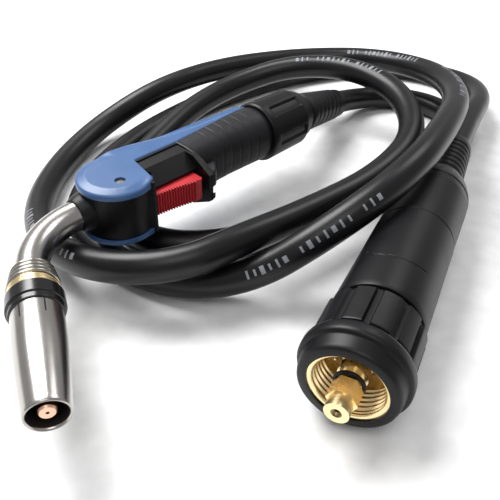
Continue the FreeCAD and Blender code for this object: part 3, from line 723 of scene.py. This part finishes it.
def build_housing_detail(side):
    """The rim along the top of the recessed panel beside the trigger, and the ridge behind it."""
    label = "top" if side > 0 else "bottom"
    low, high = sorted((side * 14.0, side * 15.45))
    back = [(28.6, -4.2), (30.4, 0.6), (60.4, 1.4), (60.4, -4.2)]
    plate("panel_back_" + label, back, low, high, TORCH, "body_black")
    low, high = sorted((side * 15.3, side * 16.3))
    plate("panel_rim_" + label, [(30.2, 0.5), (59.8, 1.4), (60.2, -0.1), (31.3, -0.7)], low, high, TORCH,
          "body_black", bevel=0.25, sharp=30)
    section = [(59.3, 0.3), (60.2, 0.0), (61.3, 0.0), (62.0, 0.6), (62.0, 4.0), (59.3, 4.0)]
    path = [(1.4, 16.6), (-7.0, 16.6), (-13.0, 15.9), (-21.0, 12.6), (-26.6, 9.5), (-28.9, 7.6)]
    rings = [[(x, y, side * (z - drop)) for x, drop in section] for y, z in path]
    verts, faces = rings_to_mesh(rings)
    piece("panel_ridge_" + label, verts, faces, TORCH, "body_black", bevel=0.3, sharp=40)


# ---------------------------------------------------------------- trigger
def build_trigger():
    half = 6.5
    front = [(26.5, -20.4), (34, -21.2), (44, -23.0), (52, -25.0)]
    outline = [(26.5, -10.2), (26.5, -20.0)]
    ridges = 15
    step = 24.6 / ridges
    for k in range(ridges):
        x = 26.9 + step * k
        y = blend_points(front, x)
        slope = blend_points(front, x + step) - y
        outline += [(x, y), (x + step * 0.12, y - 1.3), (x + step * 0.46, y - 1.3 + slope * 0.5),
                    (x + step * 0.58, y + slope * 0.6)]
    outline += [(52.4, -25.4), (54.6, -25.6), (55.8, -24.4), (55.8, -14.6), (53.8, -14.3), (53.8, -16.8),
                (37, -16.8), (37, -11.4), (36, -11.2), (34, -8.3), (28, -8.3)]
    plate("trigger_ridged", outline, -half, half, TORCH, "trigger_red", body="trigger_body",
          replaces=["trigger"], bevel=0.25, sharp=30)


# ---------------------------------------------------------------- rear of the torch
def build_collar():
    def slots(x, r, angle):
        """Six shallow slots along the collar's grip."""
        if r < 16.5 or x < BODY_END + 5 or x > COLLAR_END - 7:
            return r
        wave = abs((angle / (2 * math.pi) * 6) % 1 - 0.5) * 2
        window = smooth(BODY_END + 5, BODY_END + 7, x) * (1 - smooth(COLLAR_END - 10, COLLAR_END - 8, x))
        return r - 1.5 * smooth(0.62, 0.72, wave) * window

    outer = [(BODY_END + 0.1, 14.3), (BODY_END + 0.1, 18.2), (BODY_END + 0.8, 18.8), (BODY_END + 1.6, 19.0)]
    outer += [(x, 19.0 - 0.6 * (x - BODY_END) / 40) for x in steps_between(BODY_END + 4, COLLAR_END - 8, 0.5)]
    outer += [(COLLAR_END - 5, 16.9), (COLLAR_END - 1, 15.9), (COLLAR_END, 15.4), (COLLAR_END, 14.3)]
    lathe("collar", outer, TORCH, "body_black", steps=180, shape=slots, replaces=["locking_collar"], sharp=40)


def build_boot():
    profile = [(-10.8, CABLE_BORE)]
    turns = steps_between(math.radians(141), math.radians(58), 0.1)
    profile += [(BALL_R * math.cos(turn), BALL_R * math.sin(turn)) for turn in turns]
    profile += [(9.5, 11.3), (12, 11.3), (13, 12.6), (15, 13.2)]
    for x in [18 + 8.2 * k for k in range(6)]:
        top = 13.1 - 0.036 * (x - 15)
        profile += [(x, top), (x + 0.6, top - 1.7), (x + 2.4, top - 1.9), (x + 3.2, top - 0.4),
                    (x + 5.4, top - 0.1)]
    profile += [(BOOT_LENGTH - 8, 10.7), (BOOT_LENGTH - 2, 10.5), (BOOT_LENGTH, 9.6),
                (BOOT_LENGTH, CABLE_BORE)]
    lathe("torch_boot", profile, BOOT, "boot_black", replaces=["handle_boot"], bevel=0.35, sharp=30)


# ---------------------------------------------------------------- connector
def build_nut():
    pads = 12

    def grip(x, r, angle):
        """Raised pads round the rear of the nut."""
        if r < 20.4 or x < 28.2:
            return r
        wave = abs((angle / (2 * math.pi) * pads) % 1 - 0.5) * 2
        lift = 1 - smooth(0.70, 0.78, wave)
        window = smooth(28.4, 29.4, x) * (1 - smooth(50.6, 51.6, x))
        return r + 2.1 * lift * window

    outer = [(12.5, 17.3), (12.5, 20.6), (13.2, 21.5), (15.0, 22.1), (19.0, 22.5), (19.8, 22.9), (20.2, 24.0),
             (21.2, 24.7), (22.5, 24.8), (25.0, 24.8), (26.6, 24.4), (27.6, 23.4), (28.0, 21.4)]
    outer += [(x, 20.9) for x in steps_between(28.4, 51.8, 0.4)]
    outer += [(53.0, 20.6), (53.0, 12.5), (46.5, 12.5), (46.5, 18.1), (13.6, 18.1), (13.6, 17.3)]
    lathe("nut_shell", outer, PLUG, "body_black", body="nut", steps=224, shape=grip,
          replaces=["adapter_nut"], sharp=38)

    pitch = 2.6

    def thread(x, r, angle):
        """A helical ridge in the bore that fades out at both ends."""
        if r > 16 or x > 30:
            return r
        turn = ((x - 13.6) / pitch + angle / (2 * math.pi)) % 1
        fade = smooth(14.2, 15.6, x) * (1 - smooth(27.5, 29.5, x))
        return r + 0.95 * fade * smooth(0.0, 0.45, abs(turn - 0.5))

    ring = [(13.6, 18.0), (13.6, 16.2), (14.2, 15.5)]
    ring += [(x, 15.2) for x in steps_between(14.6, 30.0, 0.2)]
    ring += [(46.2, 15.2), (46.2, 18.0)]
    lathe("thread_ring", ring, PLUG, "brass", body="nut", steps=120, shape=thread,
          replaces=["nut_thread_ring"], sharp=60)


def build_connector():
    def latch(x, r, angle):
        """An incised line round the top of the barrel, with a hook at its end."""
        if r < 21:
            return r
        turn = math.degrees(angle)
        line = 77.0 + 0.0006 * (turn - 90) ** 2
        if turn < 62:
            line += 0.06 * (62 - turn) ** 1.6
        depth = 0.5 * max(0.0, 1 - abs(x - line) / 0.55)
        return r - depth * smooth(44, 48, turn) * (1 - smooth(128, 132, turn))

    barrel = [(54.0, 12.2), (54.0, 20.4), (54.4, 21.3), (55.4, 21.6), (58.0, 21.7)]
    barrel += [(x, 21.7 - 0.0126 * (x - 58)) for x in steps_between(72.0, 84.0, 0.3)]
    barrel += [(121.4, 20.9), (122.0, 20.5), (122.0, 12.2)]
    lathe("connector_barrel", barrel, PLUG, "body_black", steps=256, shape=latch,
          replaces=["connector_housing"], sharp=30)
    cap = [(122.3, 12.0), (122.3, 20.1), (122.9, 20.7), (160, 20.6), (166, 20.3), (166.6, 20.0),
           (167.4, 20.4), (172, 19.6), (178, 18.0), (183, 16.0), (187, 13.9), (187, 8.7)]
    lathe("connector_cap", cap, PLUG, "body_black", steps=128, replaces=["connector_rear_cap"], sharp=30,
          bevel=0.2)
    boot = [(187.1, CABLE_BORE), (187.1, 13.2), (188.0, 13.3)]
    for x in [190 + 6.2 * k for k in range(7)]:
        top = 13.2 - 0.048 * (x - 187)
        boot += [(x, top), (x + 0.5, top - 1.3), (x + 2.0, top - 1.4), (x + 2.6, top - 0.2),
                 (x + 4.2, top - 0.1)]
    boot += [(PLUG_BOOT_END - 3, 10.6), (PLUG_BOOT_END, 9.6), (PLUG_BOOT_END, CABLE_BORE)]
    lathe("plug_boot", boot, PLUG, "boot_black", replaces=["connector_boot"], bevel=0.3, sharp=30)


# ---------------------------------------------------------------- everything
def finish_nodes():
    """Give every CAD node that stays its material."""
    for node in frame["record"]["subparts"]:
        shown = frame["nodes"][node["node"]]
        shown.data.materials.clear()
        shown.data.materials.append(MATERIALS[node["material_slot"]])


MATERIALS = build_materials()
build_stage()
cable, cable_exit = build_cable()
build_print()
finish_nodes()
build_neck()
build_nozzle()
build_handle()
build_trigger()
build_collar()
build_boot()
build_nut()
build_connector()

on_cable = ["cable_print", "nut_shell", "thread_ring", "connector_barrel", "connector_cap", "plug_boot"]
cord_nodes = frame["record"]["physics"]["cord_nodes"]
on_cable += [node for node in cord_nodes if not frame["nodes"][node].hide_render]
